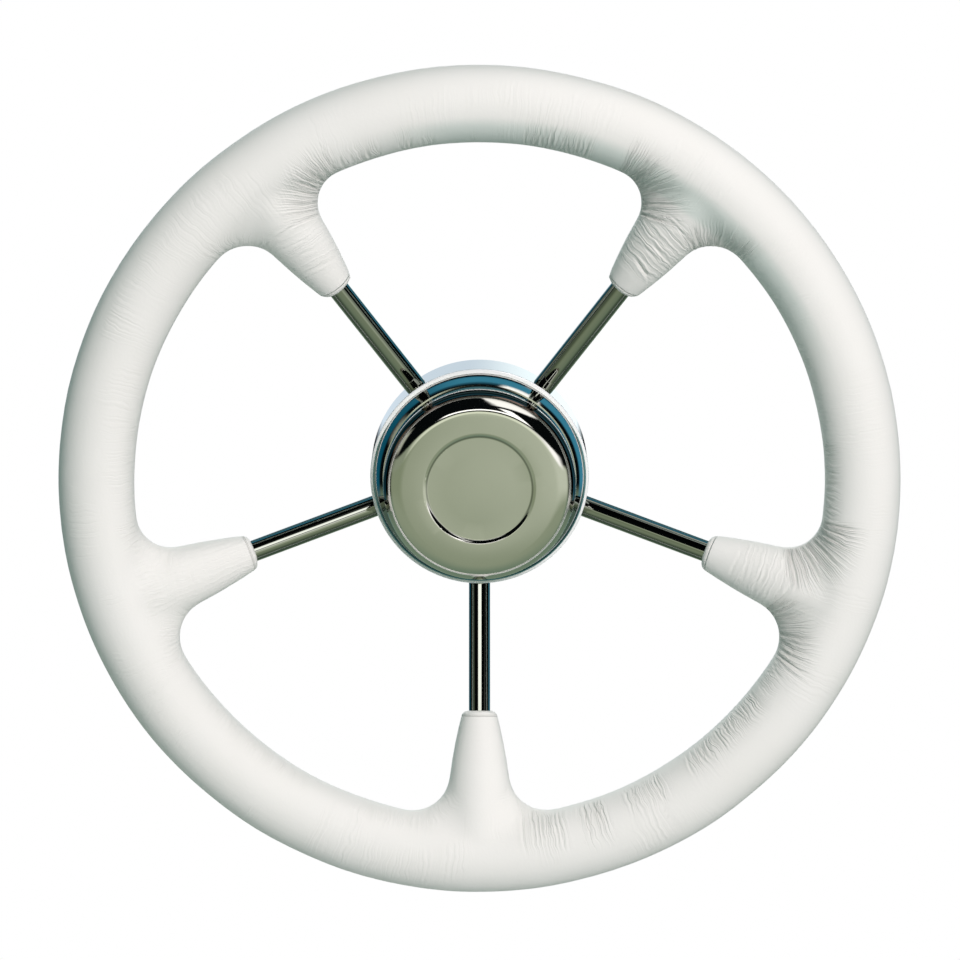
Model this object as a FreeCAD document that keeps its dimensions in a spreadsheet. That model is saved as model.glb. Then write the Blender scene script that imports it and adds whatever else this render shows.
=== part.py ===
import FreeCAD, Part
import math
import os
import Sketcher

# A five-spoke boat steering wheel. Millimetres, +Z up. The wheel turns about the Y axis and its front,
# the side that the helmsman sees, faces -Y. The origin is the middle of the tapered bore's wide mouth, in
# the rear face of the hub's boss, so every other piece lies forward of it.

# driving dimensions

sizes = {
    # rim and its cover
    "wheel_diameter": 350,
    "grip_thickness": 31.4,
    "hoop_thickness": 12,
    "rim_forward": 49.8,
    # spokes
    "spoke_count": 5,
    "spoke_diameter": 9,
    "dish_depth": 42.2,
    # sleeves of the cover
    "sleeve_reach": 61,
    "sleeve_tip_diameter": 14.4,
    "sleeve_root_margin": 1.8,
    "sleeve_tip_rounding": 2,
    "sleeve_crotch_radius": 16,
    # turned boss
    "boss_diameter": 34,
    "boss_length": 25,
    "boss_stand_off": 2,
    "boss_chamfer": 1,
    "flange_diameter": 48,
    "flange_thickness": 3,
    "shaft_diameter": 19.05,
    "shaft_taper": 12,
    "key_width": 4.8,
    "key_depth": 2.2,
    # pressed drum
    "drum_diameter": 92,
    "drum_depth": 28,
    "drum_wall": 1.2,
    "drum_corner_radius": 4,
    "lip_width": 1.7,
    "lip_slope": 0.26,
    "lip_rounding": 0.6,
    # front ring
    "cone_height": 6.6,
    "cone_bow_radius": 36,
    "seat_margin": 0.3,
    "ring_wall": 1.8,
    "ring_skirt": 4.2,
    "collar_height": 8,
    "collar_wall": 2.8,
    # cap and its seal
    "cap_diameter": 80.6,
    "cap_height": 19.5,
    "cap_wall": 1,
    "cap_edge_radius": 9,
    "dome_radius": 600,
    "face_recess_diameter": 45,
    "face_recess_slope": 2.4,
    "face_recess_depth": 0.8,
    "seal_thickness": 2.2,
    "seal_setback": 3.6,
    # fits
    "slip_clearance": 0.1,
    "seat_gap": 0.2,
}

doc = FreeCAD.newDocument("boat_steering_wheel")
sheet = doc.addObject("Spreadsheet::Sheet", "sizes")
for row, (name, value) in enumerate(sizes.items(), start=1):
    sheet.set(f"A{row}", name)
    sheet.set(f"B{row}", str(value))
    sheet.setAlias(f"B{row}", name)
doc.recompute()


class Length:
    # a size worked out from the sheet: its value now, and the formula that keeps it up to date

    def __init__(self, value, formula):
        self.value = value
        self.formula = formula

    def combine(self, other, sign, swap=False):
        if not isinstance(other, Length):
            other = Length(float(other), str(other))
        first, second = (other, self) if swap else (self, other)
        results = {
            "+": lambda a, b: a + b,
            "-": lambda a, b: a - b,
            "*": lambda a, b: a * b,
            "/": lambda a, b: a / b,
        }
        value = results[sign](first.value, second.value)
        return Length(value, f"({first.formula} {sign} {second.formula})")

    def __add__(self, other):
        return self.combine(other, "+")

    def __sub__(self, other):
        return self.combine(other, "-")

    def __rsub__(self, other):
        return self.combine(other, "-", swap=True)

    def __mul__(self, other):
        return self.combine(other, "*")

    def __truediv__(self, other):
        return self.combine(other, "/")

    def root(self):
        return Length(math.sqrt(self.value), f"sqrt({self.formula})")


def size(name):
    return Length(float(sheet.get(name)), f"sizes.{name}")


# places that several pieces share: radii from the wheel's axis, and distances forward of the rear face

no_length = Length(0.0, "0")
rim_radius = (size("wheel_diameter") - size("grip_thickness")) / 2
rim_plane = size("rim_forward")
spoke_radius = size("spoke_diameter") / 2
boss_radius = size("boss_diameter") / 2
drum_back = size("boss_stand_off")
drum_radius = size("drum_diameter") / 2
drum_bore = drum_radius - size("drum_wall")
lip_front = drum_back + size("drum_depth")
lip_radius = drum_radius - size("lip_width")
lip_edge = lip_front - size("lip_slope")
cap_seat = lip_front + size("cone_height")
cap_front = cap_seat + size("cap_height")
cap_radius = size("cap_diameter") / 2
cap_bore = cap_radius - size("cap_wall")
collar_radius = cap_bore - size("slip_clearance")
seal_plane = cap_seat + size("seal_setback")
first_spoke_turn = 90.0
spoke_total = int(round(size("spoke_count").value))


# helpers for bodies, sketches and revolved features

def new_body(label, turn=0.0):
    body = doc.addObject("PartDesign::Body", label)
    body.Label = label
    body.Placement = FreeCAD.Placement(
        FreeCAD.Vector(0, 0, 0), FreeCAD.Rotation(FreeCAD.Vector(0, 1, 0), turn))
    return body


def new_sketch(body, name, role="XY_Plane"):
    sketch = body.newObject("Sketcher::SketchObject", f"{body.Name}_{name}")
    plane = [item for item in body.Origin.OriginFeatures if item.Role == role][0]
    sketch.AttachmentSupport = (plane, [""])
    sketch.MapMode = "FlatFace"
    return sketch


def bind(sketch, kind, *arguments, length):
    # a dimension of the sketch, tied to its formula
    index = sketch.addConstraint(Sketcher.Constraint(kind, *arguments, length.value))
    sketch.setExpression(f"Constraints[{index}]", length.formula)


def set_out(sketch, item, end, radius, forward):
    # one end of a line or arc, at a radius from the wheel's axis and a distance forward
    if radius.value == 0:
        sketch.addConstraint(Sketcher.Constraint("PointOnObject", item, end, -2))
    else:
        bind(sketch, "DistanceX", -1, 1, item, end, length=radius)
    if forward.value == 0:
        sketch.addConstraint(Sketcher.Constraint("PointOnObject", item, end, -1))
    else:
        bind(sketch, "DistanceY", item, end, -1, 1, length=forward)


def spot(radius, forward):
    return FreeCAD.Vector(radius.value, -forward.value, 0)


def join(sketch, items):
    # ends of neighbouring lines of a closed outline meet
    for item, following in zip(items, items[1:] + items[:1]):
        sketch.addConstraint(Sketcher.Constraint("Coincident", item, 2, following, 1))


def outline(sketch, corners):
    # a closed straight-sided outline through corners given as radius and distance forward
    spots = [spot(*corner) for corner in corners]
    sides = zip(spots, spots[1:] + spots[:1])
    lines = [sketch.addGeometry(Part.LineSegment(start, stop)) for start, stop in sides]
    join(sketch, lines)
    for line, corner in zip(lines, corners):
        set_out(sketch, line, 1, *corner)
    return lines


def bent_outline(sketch, steps):
    # a closed outline: its corners in order, each with the arc that follows it, or with None if a straight
    # side does
    spots = [spot(*corner) for corner, bend in steps]
    sides = []
    for (corner, bend), start, stop in zip(steps, spots, spots[1:] + spots[:1]):
        if bend is None:
            sides.append((sketch.addGeometry(Part.LineSegment(start, stop)), 1, 2))
        else:
            radius, passing = bend
            arc = sketch.addGeometry(Part.Arc(start, spot(*passing), stop))
            bind(sketch, "Radius", arc, length=radius)
            sides.append((arc, *curve_ends(sketch, arc, start)))
    for (side, first, last), (following, start, stop) in zip(sides, sides[1:] + sides[:1]):
        sketch.addConstraint(Sketcher.Constraint("Coincident", side, last, following, start))
    for (side, first, last), (corner, bend) in zip(sides, steps):
        set_out(sketch, side, first, *corner)


def curve_ends(sketch, curve, start):
    # which of an arc's two ends is at the given start
    distances = [sketch.getPoint(curve, end).distanceToPoint(start) for end in (1, 2)]
    return (1, 2) if distances[0] < distances[1] else (2, 1)


def circle(sketch, radius, forward, section_radius):
    upright = FreeCAD.Vector(0, 0, 1)
    item = sketch.addGeometry(Part.Circle(spot(radius, forward), upright, section_radius.value))
    set_out(sketch, item, 3, radius, forward)
    bind(sketch, "Radius", item, length=section_radius)


def turned(body, kind, sketch, name, axis="V_Axis"):
    # a full turn of the sketch, about the wheel's axis or about the sketch's own first centre line
    feature = body.newObject(f"PartDesign::{kind}", f"{body.Name}_{name}")
    feature.Profile = sketch
    feature.ReferenceAxis = (sketch, [axis])
    feature.Angle = 360
    doc.recompute()
    return feature


def repeat(body, feature, sketch, name):
    # the same feature once for every spoke
    pattern = body.newObject("PartDesign::PolarPattern", f"{body.Name}_{name}")
    pattern.Originals = [feature]
    pattern.Axis = (sketch, ["V_Axis"])
    pattern.Angle = 360
    pattern.setExpression("Occurrences", "sizes.spoke_count")
    body.Tip = pattern
    doc.recompute()
    return pattern


def dress(body, kind, base, edges, name, amount):
    # a fillet or chamfer along the edges of the shape so far
    feature = body.newObject(f"PartDesign::{kind}", f"{body.Name}_{name}")
    feature.Base = (base, edges)
    quantity = "Radius" if kind == "Fillet" else "Size"
    feature.setExpression(quantity, amount.formula)
    doc.recompute()
    return feature


def edges_where(feature, test):
    # the names of the edges that pass the test, leaving out the pole of a dome
    numbered = enumerate(feature.Shape.Edges, start=1)
    return [f"Edge{number}" for number, edge in numbered if not edge.Degenerated and test(edge)]


def is_circle(edge, radius, forward=None):
    # a circle of that radius, about any axis, or about the wheel's axis at that distance forward
    if not isinstance(edge.Curve, Part.Circle) or abs(edge.Curve.Radius - radius.value) > 0.001:
        return False
    return forward is None or abs(edge.Curve.Center.y + forward.value) < 0.001


# the spokes' own line: from the point on the axis where all five would meet, out to the hoop's centre

def centre_line(sketch):
    meeting = spot(no_length, rim_plane - size("dish_depth"))
    hoop = spot(rim_radius, rim_plane)
    line = sketch.addGeometry(Part.LineSegment(meeting, hoop), True)
    set_out(sketch, line, 1, no_length, rim_plane - size("dish_depth"))
    set_out(sketch, line, 2, rim_radius, rim_plane)
    return line


def along_spoke(distance, aside=0.0):
    # a starting place for a sketch's corner: so far in from the hoop's centre, and so far off the line
    lean = math.atan2(size("dish_depth").value, rim_radius.value)
    inward = FreeCAD.Vector(-math.cos(lean), math.sin(lean), 0)
    across = FreeCAD.Vector(math.sin(lean), math.cos(lean), 0)
    return spot(rim_radius, rim_plane) + inward * distance + across * aside


def rod_outline(sketch, inner_radius):
    # half of a round rod's section, from the hoop's centre in to a radius from the wheel's axis
    axis = centre_line(sketch)
    run = (rim_radius.value - inner_radius.value) * math.hypot(rim_radius.value, size("dish_depth").value)
    run = run / rim_radius.value
    half = spoke_radius.value
    base = sketch.addGeometry(Part.LineSegment(along_spoke(run), along_spoke(0)))
    outer_end = sketch.addGeometry(Part.LineSegment(along_spoke(0), along_spoke(0, half)))
    side = sketch.addGeometry(Part.LineSegment(along_spoke(0, half), along_spoke(run, half)))
    inner_end = sketch.addGeometry(Part.LineSegment(along_spoke(run, half), along_spoke(run)))
    join(sketch, [base, outer_end, side, inner_end])
    sketch.addConstraint(Sketcher.Constraint("Coincident", base, 2, axis, 2))
    sketch.addConstraint(Sketcher.Constraint("PointOnObject", base, 1, axis))
    bind(sketch, "DistanceX", -1, 1, base, 1, length=inner_radius)
    sketch.addConstraint(Sketcher.Constraint("Perpendicular", outer_end, base))
    sketch.addConstraint(Sketcher.Constraint("Parallel", side, base))
    sketch.addConstraint(Sketcher.Constraint("Perpendicular", inner_end, base))
    bind(sketch, "Distance", outer_end, length=spoke_radius)


# steel hoop in the middle of the rim

def make_rim_hoop():
    body = new_body("rim_hoop")
    sketch = new_sketch(body, "section")
    circle(sketch, rim_radius, rim_plane, size("hoop_thickness") / 2)
    turned(body, "Revolution", sketch, "ring")
    return body


# straight round spokes, their ends shaped to the hoop's tube and to the boss

def make_spoke(index):
    turn = first_spoke_turn + index * 360.0 / spoke_total
    body = new_body(f"spoke_{index + 1}", turn)
    rod = new_sketch(body, "rod_section")
    rod_outline(rod, boss_radius / 2)
    turned(body, "Revolution", rod, "rod", "Axis0")
    hoop = new_sketch(body, "hoop_section")
    circle(hoop, rim_radius, rim_plane, size("hoop_thickness") / 2)
    turned(body, "Groove", hoop, "hoop_cope")
    boss = new_sketch(body, "boss_section")
    far_front = rim_plane
    outline(boss, [
        (no_length, no_length),
        (boss_radius, no_length),
        (boss_radius, far_front),
        (no_length, far_front),
    ])
    turned(body, "Groove", boss, "boss_cope")
    return body


# soft cover: a round rim and one tapered sleeve along each spoke, in one moulding

def sleeve_outline(sketch):
    # half of a sleeve's section: one long curve that narrows from the full girth at the hoop, a rounded
    # corner and a flat tip; the tip's stated girth is measured where the curve would meet the flat
    axis = centre_line(sketch)
    reach = size("sleeve_reach").value
    tip = size("sleeve_tip_diameter").value / 2
    root_girth = size("grip_thickness") - size("sleeve_root_margin")
    root = root_girth.value / 2
    rounding = size("sleeve_tip_rounding").value
    half_way_girth = root - (root - tip) / 4
    base = sketch.addGeometry(Part.LineSegment(along_spoke(reach), along_spoke(0)))
    root_end = sketch.addGeometry(Part.LineSegment(along_spoke(0), along_spoke(0, root)))
    flank = sketch.addGeometry(Part.Arc(
        along_spoke(0, root), along_spoke(reach / 2, half_way_girth), along_spoke(reach - rounding, tip)))
    bend = sketch.addGeometry(Part.Arc(
        along_spoke(reach - rounding, tip), along_spoke(reach - rounding * 0.3, tip - rounding * 0.3),
        along_spoke(reach, tip - rounding)))
    tip_end = sketch.addGeometry(Part.LineSegment(along_spoke(reach, tip - rounding), along_spoke(reach)))
    corner = sketch.addGeometry(Part.Point(along_spoke(reach, tip)), True)
    flank_start, flank_end = curve_ends(sketch, flank, along_spoke(0, root))
    bend_start, bend_end = curve_ends(sketch, bend, along_spoke(reach - rounding, tip))
    sketch.addConstraint(Sketcher.Constraint("Coincident", base, 2, root_end, 1))
    sketch.addConstraint(Sketcher.Constraint("Coincident", root_end, 2, flank, flank_start))
    sketch.addConstraint(Sketcher.Constraint("Tangent", flank, flank_end, bend, bend_start))
    sketch.addConstraint(Sketcher.Constraint("Tangent", bend, bend_end, tip_end, 1))
    sketch.addConstraint(Sketcher.Constraint("Coincident", tip_end, 2, base, 1))
    sketch.addConstraint(Sketcher.Constraint("Coincident", base, 2, axis, 2))
    sketch.addConstraint(Sketcher.Constraint("PointOnObject", base, 1, axis))
    sketch.addConstraint(Sketcher.Constraint("Perpendicular", root_end, base))
    sketch.addConstraint(Sketcher.Constraint("Perpendicular", tip_end, base))
    sketch.addConstraint(Sketcher.Constraint("PointOnObject", flank, 3, root_end))
    sketch.addConstraint(Sketcher.Constraint("PointOnObject", corner, 1, flank))
    sketch.addConstraint(Sketcher.Constraint("PointOnObject", corner, 1, tip_end))
    bind(sketch, "Distance", base, length=size("sleeve_reach"))
    bind(sketch, "Distance", root_end, length=root_girth / 2)
    bind(sketch, "Distance", corner, 1, base, length=size("sleeve_tip_diameter") / 2)
    bind(sketch, "Radius", bend, length=size("sleeve_tip_rounding"))


def lies_on_rim(edge):
    # true where a sleeve runs into the rim: an edge on the rim's surface that isn't one of its own circles
    if isinstance(edge.Curve, Part.Circle):
        return False
    span = edge.LastParameter - edge.FirstParameter
    for share in (0.1, 0.5, 0.9):
        place = edge.valueAt(edge.FirstParameter + share * span)
        from_hoop = math.hypot(math.hypot(place.x, place.z) - rim_radius.value, place.y + rim_plane.value)
        if abs(from_hoop - size("grip_thickness").value / 2) > 0.01:
            return False
    return True


def make_rim_grip():
    body = new_body("rim_grip", first_spoke_turn)
    rim = new_sketch(body, "rim_section")
    circle(rim, rim_radius, rim_plane, size("grip_thickness") / 2)
    turned(body, "Revolution", rim, "rim")
    section = new_sketch(body, "sleeve_section")
    sleeve_outline(section)
    sleeve = turned(body, "Revolution", section, "sleeve", "Axis0")
    sleeves = repeat(body, sleeve, section, "sleeves")
    dress(body, "Fillet", sleeves, edges_where(sleeves, lies_on_rim), "crotches", size("sleeve_crotch_radius"))
    hoop = new_sketch(body, "hoop_section")
    circle(hoop, rim_radius, rim_plane, size("hoop_thickness") / 2)
    turned(body, "Groove", hoop, "hoop_cavity")
    rod = new_sketch(body, "rod_section")
    rod_outline(rod, boss_radius)
    cavity = turned(body, "Groove", rod, "rod_cavity", "Axis0")
    repeat(body, cavity, rod, "rod_cavities")
    return body


# turned boss with a locating flange, a tapered bore and a keyway

def make_hub_boss():
    body = new_body("hub_boss")
    section = new_sketch(body, "section")
    wide = size("shaft_diameter") / 2
    narrow = (size("shaft_diameter") - size("boss_length") / size("shaft_taper")) / 2
    flange_radius = size("flange_diameter") / 2
    flange_back = drum_back + size("drum_wall")
    flange_front = flange_back + size("flange_thickness")
    outline(section, [
        (wide, no_length),
        (boss_radius, no_length),
        (boss_radius, flange_back),
        (flange_radius, flange_back),
        (flange_radius, flange_front),
        (boss_radius, flange_front),
        (boss_radius, size("boss_length")),
        (narrow, size("boss_length")),
    ])
    turning = turned(body, "Revolution", section, "turning")
    front_edge = edges_where(turning, lambda edge: is_circle(edge, boss_radius, size("boss_length")))
    dress(body, "Chamfer", turning, front_edge, "front_chamfer", size("boss_chamfer"))
    key = new_sketch(body, "key_section", "XZ_Plane")
    key_outline(key, wide + size("key_depth"))
    keyway = body.newObject("PartDesign::Pocket", "hub_boss_keyway")
    keyway.Profile = key
    keyway.Type = "ThroughAll"
    keyway.Midplane = True
    doc.recompute()
    return body


def key_outline(sketch, height):
    # a rectangle from the bore's middle up to the keyway's floor
    half = size("key_width") / 2
    spots = [
        FreeCAD.Vector(-half.value, 0, 0),
        FreeCAD.Vector(half.value, 0, 0),
        FreeCAD.Vector(half.value, height.value, 0),
        FreeCAD.Vector(-half.value, height.value, 0),
    ]
    sides = zip(spots, spots[1:] + spots[:1])
    lines = [sketch.addGeometry(Part.LineSegment(start, stop)) for start, stop in sides]
    join(sketch, lines)
    bottom, right, top, left = lines
    sketch.addConstraint(Sketcher.Constraint("Symmetric", bottom, 1, bottom, 2, -1, 1))
    sketch.addConstraint(Sketcher.Constraint("Horizontal", bottom))
    sketch.addConstraint(Sketcher.Constraint("Horizontal", top))
    sketch.addConstraint(Sketcher.Constraint("Vertical", right))
    sketch.addConstraint(Sketcher.Constraint("Vertical", left))
    bind(sketch, "Distance", bottom, length=size("key_width"))
    bind(sketch, "Distance", right, length=height)


# pressed cup round the boss: a flat back, a deep wall and a sloping lip turned inwards at the mouth

def make_hub_drum():
    body = new_body("hub_drum", first_spoke_turn)
    section = new_sketch(body, "section")
    wall = size("drum_wall")
    outline(section, [
        (boss_radius, drum_back),
        (drum_radius, drum_back),
        (drum_radius, lip_edge),
        (lip_radius, lip_front),
        (lip_radius, lip_front - wall),
        (drum_bore, lip_front - wall),
        (drum_bore, drum_back + wall),
        (boss_radius, drum_back + wall),
    ])
    pressing = turned(body, "Revolution", section, "pressing")
    outer = edges_where(pressing, lambda edge: is_circle(edge, drum_radius, drum_back))
    corner = dress(body, "Fillet", pressing, outer, "corner", size("drum_corner_radius"))
    inner = edges_where(corner, lambda edge: is_circle(edge, drum_bore, drum_back + wall))
    lining = dress(body, "Fillet", corner, inner, "inner_corner", size("drum_corner_radius") - wall)
    mouth = edges_where(lining, lambda edge: is_circle(edge, drum_radius, lip_edge))
    dress(body, "Fillet", lining, mouth, "lip", size("lip_rounding"))
    rod = new_sketch(body, "rod_section")
    rod_outline(rod, boss_radius)
    passage = turned(body, "Groove", rod, "spoke_hole", "Axis0")
    repeat(body, passage, rod, "spoke_holes")
    return body


# ring that rises from the drum's lip, with the seat and the grooved collar that hold the cap

def make_front_ring():
    body = new_body("front_ring")
    section = new_sketch(body, "section")
    clearance = size("slip_clearance")
    wall = size("ring_wall")
    skirt_radius = drum_bore - clearance
    collar_bore = collar_radius - size("collar_wall")
    skirt_front = lip_front - size("drum_wall")
    skirt_back = skirt_front - size("ring_skirt")
    neck = (lip_radius - clearance, lip_front)
    brim = (cap_radius + size("seat_margin"), cap_seat)
    floor = seal_floor()
    half_groove = size("seal_thickness") / 2 + clearance
    bent_outline(section, [
        ((skirt_radius, skirt_back), None),
        ((skirt_radius, skirt_front), None),
        ((lip_radius - clearance, skirt_front), None),
        (neck, bowed(neck, brim, size("cone_bow_radius"))),
        (brim, None),
        ((collar_radius, cap_seat), None),
        ((collar_radius, seal_plane - half_groove), None),
        ((floor, seal_plane - half_groove), None),
        ((floor, seal_plane + half_groove), None),
        ((collar_radius, seal_plane + half_groove), None),
        ((collar_radius, cap_seat + size("collar_height")), None),
        ((collar_bore, cap_seat + size("collar_height")), None),
        ((collar_bore, cap_seat - wall), None),
        ((skirt_radius - wall, skirt_front - wall), None),
        ((skirt_radius - wall, skirt_back), None),
    ])
    turned(body, "Revolution", section, "moulding")
    return body


def bowed(start, stop, radius):
    # a flank's shallow arc from one corner to another, bulging outward and forward
    inward, forward = stop[0] - start[0], stop[1] - start[1]
    chord = (inward * inward + forward * forward).root()
    bulge = radius - (radius * radius - chord * chord / 4).root()
    middle_radius = (start[0] + stop[0]) / 2 + bulge * forward / chord
    return radius, (middle_radius, (start[1] + stop[1]) / 2 - bulge * inward / chord)


def seal_floor():
    # the groove's floor, which leaves the seal its own thickness and a clearance inside the cap
    return cap_bore - size("seal_thickness") - size("slip_clearance") / 2


# rubber ring that grips the cap

def make_cap_seal():
    body = new_body("cap_seal")
    sketch = new_sketch(body, "section")
    middle = (seal_floor() + cap_bore) / 2
    circle(sketch, middle, seal_plane, size("seal_thickness") / 2)
    turned(body, "Revolution", sketch, "ring")
    return body


# pressed cap: a shell with a large rounded edge and a domed face with a shallow round recess

def make_hub_cap():
    body = new_body("hub_cap")
    section = new_sketch(body, "section")
    wall = size("cap_wall")
    back = cap_seat + size("seat_gap")
    bend = size("cap_edge_radius")
    bend_radius = cap_radius - bend
    bend_forward = on_dome(bend_radius, bend)
    recess = size("face_recess_diameter") / 2
    half_slope = size("face_recess_slope") / 2
    depth = size("face_recess_depth")
    foot, top = recess - half_slope, recess + half_slope
    slope_bend = (half_slope * half_slope + depth * depth / 4) / depth
    turning = on_dome(recess, depth / 2)
    dip = depth / 8
    halfway = (top + bend_radius) / 2
    bent_outline(section, [
        (crown(depth), dome_arc(recess / 2, depth)),
        (dome_spot(foot, depth), (slope_bend, (recess - half_slope / 2, on_dome(foot, depth) + dip))),
        ((recess, turning), (slope_bend, (recess + half_slope / 2, on_dome(top, no_length) - dip))),
        (dome_spot(top, no_length), dome_arc(halfway, no_length)),
        (dome_end(bend_radius, bend, no_length), bend_arc(bend_radius, bend_forward, bend)),
        ((cap_radius, bend_forward), None),
        ((cap_radius, back), None),
        ((cap_bore, back), None),
        ((cap_bore, bend_forward), bend_arc(bend_radius, bend_forward, bend - wall)),
        (dome_end(bend_radius, bend, wall), dome_arc(halfway, wall)),
        (dome_spot(top, wall), None),
        (dome_spot(foot, depth + wall), dome_arc(recess / 2, depth + wall)),
        (crown(depth + wall), None),
    ])
    turned(body, "Revolution", section, "pressing")
    return body


def on_dome(radius, inset):
    # how far forward the domed face lies at that radius, on the outside or so far inside its skin
    dome = size("dome_radius") - inset
    return cap_front - size("dome_radius") + (dome * dome - radius * radius).root()


def dome_spot(radius, inset):
    return radius, on_dome(radius, inset)


def crown(inset):
    return no_length, cap_front - inset


def dome_arc(halfway, inset):
    return size("dome_radius") - inset, dome_spot(halfway, inset)


def dome_end(bend_radius, bend, inset):
    # where the dome runs out into the rounded edge, on the line through both of their middles
    dome = size("dome_radius")
    share = (dome - inset) / (dome - bend)
    dome_middle = cap_front - dome
    return bend_radius * share, dome_middle + (on_dome(bend_radius, bend) - dome_middle) * share


def bend_arc(bend_radius, bend_forward, radius):
    # the rounded edge's arc, which passes half way between straight forward and straight outward
    aslant = radius * math.sqrt(0.5)
    return radius, (bend_radius + aslant, bend_forward + aslant)


bodies = [
    make_rim_grip(),
    make_rim_hoop(),
    make_hub_boss(),
    make_hub_drum(),
    make_front_ring(),
    make_cap_seal(),
    make_hub_cap(),
]
for index in range(spoke_total):
    bodies.append(make_spoke(index))
doc.recompute()

for item in doc.Objects:
    failed = {"Invalid", "Error"}.intersection(item.State)
    if failed:
        raise RuntimeError(f"{item.Label} didn't build: {item.State}")
for body in bodies:
    shape = body.Shape
    if shape.isNull() or not shape.isValid() or len(shape.Solids) != 1:
        raise RuntimeError(f"{body.Label} isn't one valid solid")

os.makedirs("parts", exist_ok=True)
for body in bodies:
    body.Shape.exportStep(f"parts/{body.Label}.step")
    print(body.Label, round(body.Shape.Volume, 1), "mm3")
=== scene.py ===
import math
import random
import bmesh
import bpy
import numpy as np
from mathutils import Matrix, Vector, noise


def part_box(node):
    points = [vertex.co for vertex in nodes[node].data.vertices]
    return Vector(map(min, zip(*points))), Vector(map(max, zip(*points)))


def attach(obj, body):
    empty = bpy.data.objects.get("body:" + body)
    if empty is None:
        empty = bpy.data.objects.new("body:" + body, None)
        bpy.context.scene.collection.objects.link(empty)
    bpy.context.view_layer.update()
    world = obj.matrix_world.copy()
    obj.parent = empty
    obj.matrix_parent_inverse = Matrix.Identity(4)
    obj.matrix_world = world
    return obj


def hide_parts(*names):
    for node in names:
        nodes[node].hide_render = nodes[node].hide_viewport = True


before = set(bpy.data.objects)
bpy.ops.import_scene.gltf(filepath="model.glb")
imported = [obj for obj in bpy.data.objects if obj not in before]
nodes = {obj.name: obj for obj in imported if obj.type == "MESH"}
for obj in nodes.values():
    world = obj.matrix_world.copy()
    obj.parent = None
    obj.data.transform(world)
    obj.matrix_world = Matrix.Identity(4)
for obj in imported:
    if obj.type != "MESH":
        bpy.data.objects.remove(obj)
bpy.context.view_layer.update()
scene = bpy.context.scene
scene.view_settings.view_transform = "Standard"
print("frame loaded:", len(nodes), "nodes")


# the wheel's own sizes in metres, and its spokes as turns from +X

wheel = {
    "tubeRadius": 0.0157,
    "hoopRadius": 0.006,
    "spokeRadius": 0.0045,
    "dish": 0.0422,      # how far each spoke rises from the axis to the hoop
    "spokeTurns": [math.radians(turn) for turn in (270, 342, 54, 126, 198)],
    "weld": 1e-6,        # points nearer than this are one
}

hoopLow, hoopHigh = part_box("rim_hoop")
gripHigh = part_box("rim_grip")[1]
rimForward = (hoopLow[1] + hoopHigh[1]) / 2
rimRadius = gripHigh[0] - wheel["tubeRadius"]
rimCentre = Vector((0, rimForward, 0))
spokeStart = rimForward + wheel["dish"]      # where the spokes' lines meet on the axis


# shader maths: a socket that can be added, multiplied and compared in plain expressions

class Wire:
    def __init__(self, shop, socket):
        self.shop = shop
        self.socket = socket

    def maths(self, operation, *others):
        return self.shop.node("ShaderNodeMath", {"operation": operation}, [self, *others]).out(0)

    def __add__(self, other):
        return self.maths("ADD", other)

    __radd__ = __add__

    def __mul__(self, other):
        return self.maths("MULTIPLY", other)

    __rmul__ = __mul__

    def __sub__(self, other):
        return self.maths("SUBTRACT", other)

    def __rsub__(self, other):
        return self.shop.node("ShaderNodeMath", {"operation": "SUBTRACT"}, [other, self]).out(0)

    def __abs__(self):
        return self.maths("ABSOLUTE")

    def clamped(self):
        return self.shop.node("ShaderNodeClamp", {}, [self]).out(0)

    def eased(self, start, full):
        # 0 at start, 1 at full and a soft step between them, whichever of the two is the larger
        settings = {"interpolation_type": "SMOOTHSTEP"}
        if start < full:
            return self.shop.node("ShaderNodeMapRange", settings, {0: self, 1: start, 2: full}).out(0)
        return 1 - self.shop.node("ShaderNodeMapRange", settings, {0: self, 1: full, 2: start}).out(0)


class Node:
    def __init__(self, shop, made):
        self.shop = shop
        self.made = made

    def out(self, which):
        return Wire(self.shop, self.made.outputs[which])


class Shop:
    # the node tree of one material or world
    def __init__(self, owner):
        owner.use_nodes = True
        self.owner = owner
        self.tree = owner.node_tree
        self.tree.nodes.clear()

    def node(self, kind, settings, inputs):
        made = self.tree.nodes.new(kind)
        for name, value in settings.items():
            setattr(made, name, value)
        pairs = inputs.items() if isinstance(inputs, dict) else enumerate(inputs)
        for which, value in pairs:
            if isinstance(value, Wire):
                self.tree.links.new(value.socket, made.inputs[which])
            else:
                made.inputs[which].default_value = value
        return Node(self, made)

    def mixedColour(self, share, first, second):
        return self.node("ShaderNodeMix", {"data_type": "RGBA"}, {0: share, 6: first, 7: second}).out(2)

    def mixedShader(self, share, first, second):
        return self.node("ShaderNodeMixShader", {}, [share, first, second]).out(0)

    def noise(self, place, scale, detail=2.0):
        return self.node("ShaderNodeTexNoise", {}, {"Vector": place, "Scale": scale, "Detail": detail}).out(0)

    def noiseAlong(self, value):
        # noise along a single coordinate
        settings = {"noise_dimensions": "1D"}
        return self.node("ShaderNodeTexNoise", settings, {"W": value, "Scale": 1.0, "Detail": 1.0}).out(0)

    def bump(self, height, strength, distance):
        inputs = {"Height": height, "Strength": strength, "Distance": distance}
        return self.node("ShaderNodeBump", {}, inputs).out(0)

    def attribute(self, name):
        return self.node("ShaderNodeAttribute", {"attribute_name": name}, {}).out("Fac")

    def coordinate(self, name):
        return self.node("ShaderNodeTexCoord", {}, {}).out(name)

    def parts(self, vector):
        split = self.node("ShaderNodeSeparateXYZ", {}, [vector])
        return [split.out(axis) for axis in range(3)]

    def millimetres(self, place):
        # how far to the right, behind and up a place is
        return [part * 1000 for part in self.parts(place)]


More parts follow.
